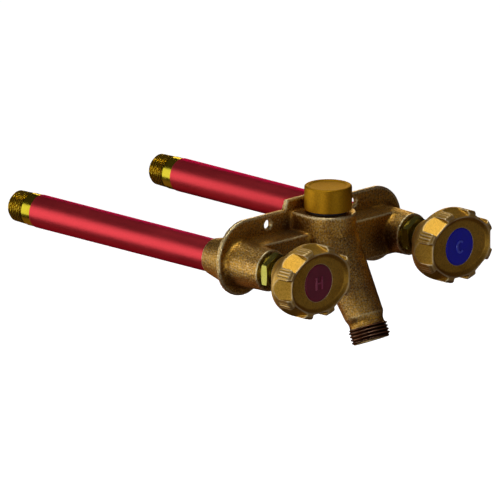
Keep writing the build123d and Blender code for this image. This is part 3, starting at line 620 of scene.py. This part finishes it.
def vent_cap(around=96, rim_steps=9, weld=0.001 * MM):
    dished = [(0.0, CAP_TOP - CAP_DISH)]
    dished += [(radius, CAP_TOP - CAP_DISH * share) for radius, share in CAP_DISH_STEPS]
    rim = [(CAP_RADIUS - CAP_RIM + CAP_RIM * math.sin(a), CAP_TOP - CAP_RIM + CAP_RIM * math.cos(a))
           for a in np.linspace(0, math.pi / 2, rim_steps)]
    wall = [(CAP_RADIUS, CAP_FOOT + CAP_NICK), (CAP_RADIUS - CAP_NICK, CAP_FOOT),
            (CAP_INNER_RADIUS, CAP_FOOT), (CAP_INNER_RADIUS, CAP_ROOF)]
    collar_end = CAP_ROOF - CAP_COLLAR_LENGTH
    collar = [(CAP_COLLAR_OUTER, CAP_ROOF), (CAP_COLLAR_OUTER, collar_end),
              (CAP_COLLAR_INNER, collar_end), (CAP_COLLAR_INNER, CAP_ROOF), (0.0, CAP_ROOF)]
    outline = dished + rim + wall + collar
    angle = turn_angles(around)
    rings = np.zeros((len(outline), around, 3))
    for ring, (radius, z) in zip(rings, outline):
        ring[:, 0] = radius * MM * np.cos(angle)
        ring[:, 1] = COLUMN_Y + radius * MM * np.sin(angle)
        ring[:, 2] = z * MM
    mesh = grid_mesh("vent_cap", rings, False)
    bm = bmesh.new()
    bm.from_mesh(mesh)
    bmesh.ops.remove_doubles(bm, verts=bm.verts, dist=weld)
    bm.to_mesh(mesh)
    bm.free()
    sharpen(mesh)
    return new_object("vent_cap", mesh)


cap = vent_cap()
dress(cap, "cap_bronze", "housing", "vacuum_breaker_cap")


# ---- Raised letters on the index buttons

LETTER_DEPTH = 0.6 * MM
LETTER_SINK = 0.2 * MM
LETTER_WALL_SHARE = 0.6
LETTER_BEVEL = 0.12  # millimetres

# Outlines in millimetres: half widths and heights of H, and radii of C's two arcs
H_SIDE, H_STEM, H_TOP, H_BAR = 3.3, 2.0, 4.3, 0.6
H_OUTLINE = [(-H_SIDE, -H_TOP), (-H_STEM, -H_TOP), (-H_STEM, -H_BAR), (H_STEM, -H_BAR),
             (H_STEM, -H_TOP), (H_SIDE, -H_TOP), (H_SIDE, H_TOP), (H_STEM, H_TOP),
             (H_STEM, H_BAR), (-H_STEM, H_BAR), (-H_STEM, H_TOP), (-H_SIDE, H_TOP)]
C_OUTER, C_INNER = (3.6, 4.5), (2.3, 3.2)
C_START, C_SWEEP, C_STEPS = 45, 270, 28
C_ARC = [math.radians(C_START + C_SWEEP * i / C_STEPS) for i in range(C_STEPS + 1)]
C_OUTLINE = [(C_OUTER[0] * math.cos(a), C_OUTER[1] * math.sin(a)) for a in C_ARC]
C_OUTLINE += [(C_INNER[0] * math.cos(a), C_INNER[1] * math.sin(a)) for a in C_ARC[::-1]]


def raised(name, outline, x):
    """A flat letter from a closed outline, standing on a button's face with its edge bevelled."""
    n = len(outline)
    middle = np.mean(outline, axis=0)
    verts = []
    for inset, y in ((0.0, BUTTON_FACE + LETTER_SINK),
                     (0.0, BUTTON_FACE - LETTER_DEPTH * LETTER_WALL_SHARE),
                     (LETTER_BEVEL, BUTTON_FACE - LETTER_DEPTH)):
        for px, pz in outline:
            px = px - inset * np.sign(px - middle[0])
            pz = pz - inset * np.sign(pz - middle[1])
            verts.append((x + px * MM, y, pz * MM))
    faces = [tuple(range(n))[::-1], tuple(range(2 * n, 3 * n))]
    for layer in (0, n):
        for i in range(n):
            k = (i + 1) % n
            faces.append((layer + i, layer + k, layer + n + k, layer + n + i))
    mesh = bpy.data.meshes.new(name)
    mesh.from_pydata(verts, [], faces)
    mesh.validate()
    return new_object(name, mesh)


for name, outline, side in (("letter_h", H_OUTLINE, "hot"), ("letter_c", C_OUTLINE, "cold")):
    letter = raised(name, outline, SIDES[side])
    dress(letter, side + "_button", side + "_stem_body")
    letter.data.materials[0] = MATERIALS[side + "_letter"]


# ---- The vent's spring, on its own copy of the mesh and carried by the poppet; the real spring shortens from its top as the poppet lifts

spring = new_object("vent_spring", frame["nodes"]["vacuum_spring"].data.copy())
dress(spring, "steel", "poppet", "vacuum_spring")
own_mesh(spring)


# ---- Studio

# Name, place, target, size, power and, where it isn't white, colour
LIGHTS = (
    ("key_light", (-0.78, 0.78, 0.06), (0, 0.03, 0), (0.8, 0.85), 4.1),
    ("left_light", (-0.95, -0.30, 0.0), (0, 0, 0), (0.45, 0.45), 1.9),
    ("low_light", (-0.06, 0.34, -0.28), (0, 0.02, 0), (0.35, 0.25), 0.08, (1.0, 0.55, 0.42)),
    ("front_light", (-0.1, -1.0, -0.05), (0, 0, 0), (0.6, 0.5), 0.9),
    ("right_fill", (0.8, -0.8, -0.25), (0, 0, 0), (0.8, 0.6), 0.15),
    ("back_light", (0.75, 0.75, 0.28), (0, 0, 0), (0.4, 0.15), 1.0),
    ("top_light", (-0.12, 0.08, 1.0), (0, 0, 0), (0.4, 0.3), 3.6),
)
SKY = ((0.2, (0.06, 0.034, 0.036)), (0.6, (0.055, 0.036, 0.042)), (0.9, (0.12, 0.10, 0.11)))
SKY_STRENGTH = 0.55
PALE = (0.95, 0.95, 0.95)
FLOOR_Z = -0.30
REACH = 6.0
VIEW_WIDTH = 0.3274
VIEW_TARGET = Vector((-27.3, 25.8, -4.0)) * MM
VIEW_DISTANCE = 1.2
VIEW_AZIMUTH, VIEW_ELEVATION = math.radians(45), math.radians(15)


def area_light(name, place, target, size, power, colour=(1, 1, 1)):
    data = bpy.data.lights.new(name, "AREA")
    data.shape = "RECTANGLE"
    data.size, data.size_y = size
    data.energy = power
    data.color = colour
    lamp = bpy.data.objects.new(name, data)
    lamp.location = place
    lamp.rotation_euler = (Vector(target) - Vector(place)).to_track_quat("-Z", "Y").to_euler()
    lamp.visible_camera = False
    bpy.context.scene.collection.objects.link(lamp)


def glow(name, colour, strength=1.0, rough=0.9):
    mat, nodes, links, shader = node_material(name)
    shader.inputs["Base Color"].default_value = (*colour, 1)
    shader.inputs["Roughness"].default_value = rough
    shader.inputs["Emission Color"].default_value = (*colour, 1)
    shader.inputs["Emission Strength"].default_value = strength
    return mat


world = bpy.data.worlds.new("studio")
world.use_nodes = True
bpy.context.scene.world = world
nodes, links = world.node_tree.nodes, world.node_tree.links
direction = nodes.new("ShaderNodeTexCoord")
split = nodes.new("ShaderNodeSeparateXYZ")
links.new(direction.outputs["Generated"], split.inputs["Vector"])
shift = nodes.new("ShaderNodeMapRange")
shift.inputs["From Min"].default_value = -1.0
links.new(split.outputs["Z"], shift.inputs["Value"])
links.new(ramp(nodes, links, shift.outputs["Result"], SKY), nodes["Background"].inputs["Color"])
nodes["Background"].inputs["Strength"].default_value = SKY_STRENGTH

for light in LIGHTS:
    area_light(*light)

# The floor and the dome round it are seen, and neither lights the part nor shows in it
floor_mesh = bpy.data.meshes.new("floor")
floor_corners = [(-REACH, -REACH, FLOOR_Z), (REACH, -REACH, FLOOR_Z),
                 (REACH, REACH, FLOOR_Z), (-REACH, REACH, FLOOR_Z)]
floor_mesh.from_pydata(floor_corners, [], [(0, 1, 2, 3)])
floor = new_object("floor", floor_mesh)
floor_mesh.materials.append(glow("floor", PALE))
dome_mesh = bpy.data.meshes.new("dome")
dome_bm = bmesh.new()
bmesh.ops.create_uvsphere(dome_bm, u_segments=48, v_segments=24, radius=REACH)
dome_bm.to_mesh(dome_mesh)
dome_bm.free()
dome = new_object("dome", dome_mesh)
dome_mesh.materials.append(floor_mesh.materials[0])
for backdrop in (floor, dome):
    backdrop.visible_glossy = False
    backdrop.visible_diffuse = False
    backdrop.visible_shadow = False
bpy.context.scene.view_settings.view_transform = "Standard"

camera_data = bpy.data.cameras.new("camera")
camera_data.type = "ORTHO"
camera_data.ortho_scale = VIEW_WIDTH
camera = bpy.data.objects.new("camera", camera_data)
level = math.cos(VIEW_ELEVATION)
forward = Vector((level * math.sin(VIEW_AZIMUTH), level * math.cos(VIEW_AZIMUTH),
                  -math.sin(VIEW_ELEVATION)))
camera.location = VIEW_TARGET - forward * VIEW_DISTANCE
camera.rotation_euler = forward.to_track_quat("-Z", "Y").to_euler()
bpy.context.scene.collection.objects.link(camera)
bpy.context.scene.camera = camera
